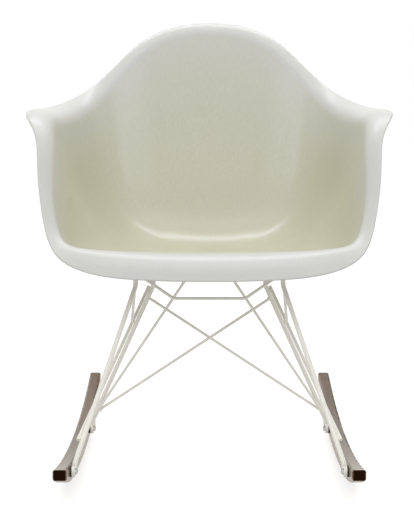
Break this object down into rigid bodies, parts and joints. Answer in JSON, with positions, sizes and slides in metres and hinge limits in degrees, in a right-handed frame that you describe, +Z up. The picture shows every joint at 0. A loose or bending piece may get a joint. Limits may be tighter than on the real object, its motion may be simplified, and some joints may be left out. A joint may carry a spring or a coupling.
{
  "type": "rocking_armchair",
  "caption": "Rocking armchair with a moulded plastic shell on a white wire rod base with bent wooden runners.",
  "frame": {"origin": "on the floor, midway between the runners and midway along them", "axes": "+X towards the right of a viewer in front, -Y the way the sitter faces, +Z up"},
  "size_m": [0.6202, 0.692, 0.753],
  "materials": {
    "shell_plastic": "satin glass-fibre reinforced plastic with fine fibre streaks",
    "stained_wood": "dark stained, satin lacquer",
    "white_rod": "white powder coat",
    "black_rubber": "moulded black rubber",
    "plated_steel": "zinc plated",
    "dark_washer": "dark brown rubber"
  },
  "bodies": {
    "root": {"shell": "shell_plastic", "runner_left": "stained_wood", "runner_right": "stained_wood", "leg_front_left": "white_rod", "leg_front_right": "white_rod", "leg_rear_left": "white_rod", "leg_rear_right": "white_rod", "diagonal_left": "white_rod", "diagonal_right": "white_rod", "short_brace_left": "white_rod", "short_brace_right": "white_rod", "rear_stay_left": "white_rod", "rear_stay_right": "white_rod", "cross_brace_front": "white_rod", "cross_brace_rear": "white_rod", "front_crossbar": "white_rod", "rear_crossbar": "white_rod", "mount_plates": "white_rod", "shock_mounts": "black_rubber", "mount_inserts": "plated_steel", "seat_screws": "plated_steel", "seat_washers": "plated_steel", "threaded_inserts": "plated_steel", "runner_washers": "dark_washer", "runner_bolts": "plated_steel"}
  },
  "joints": []
}
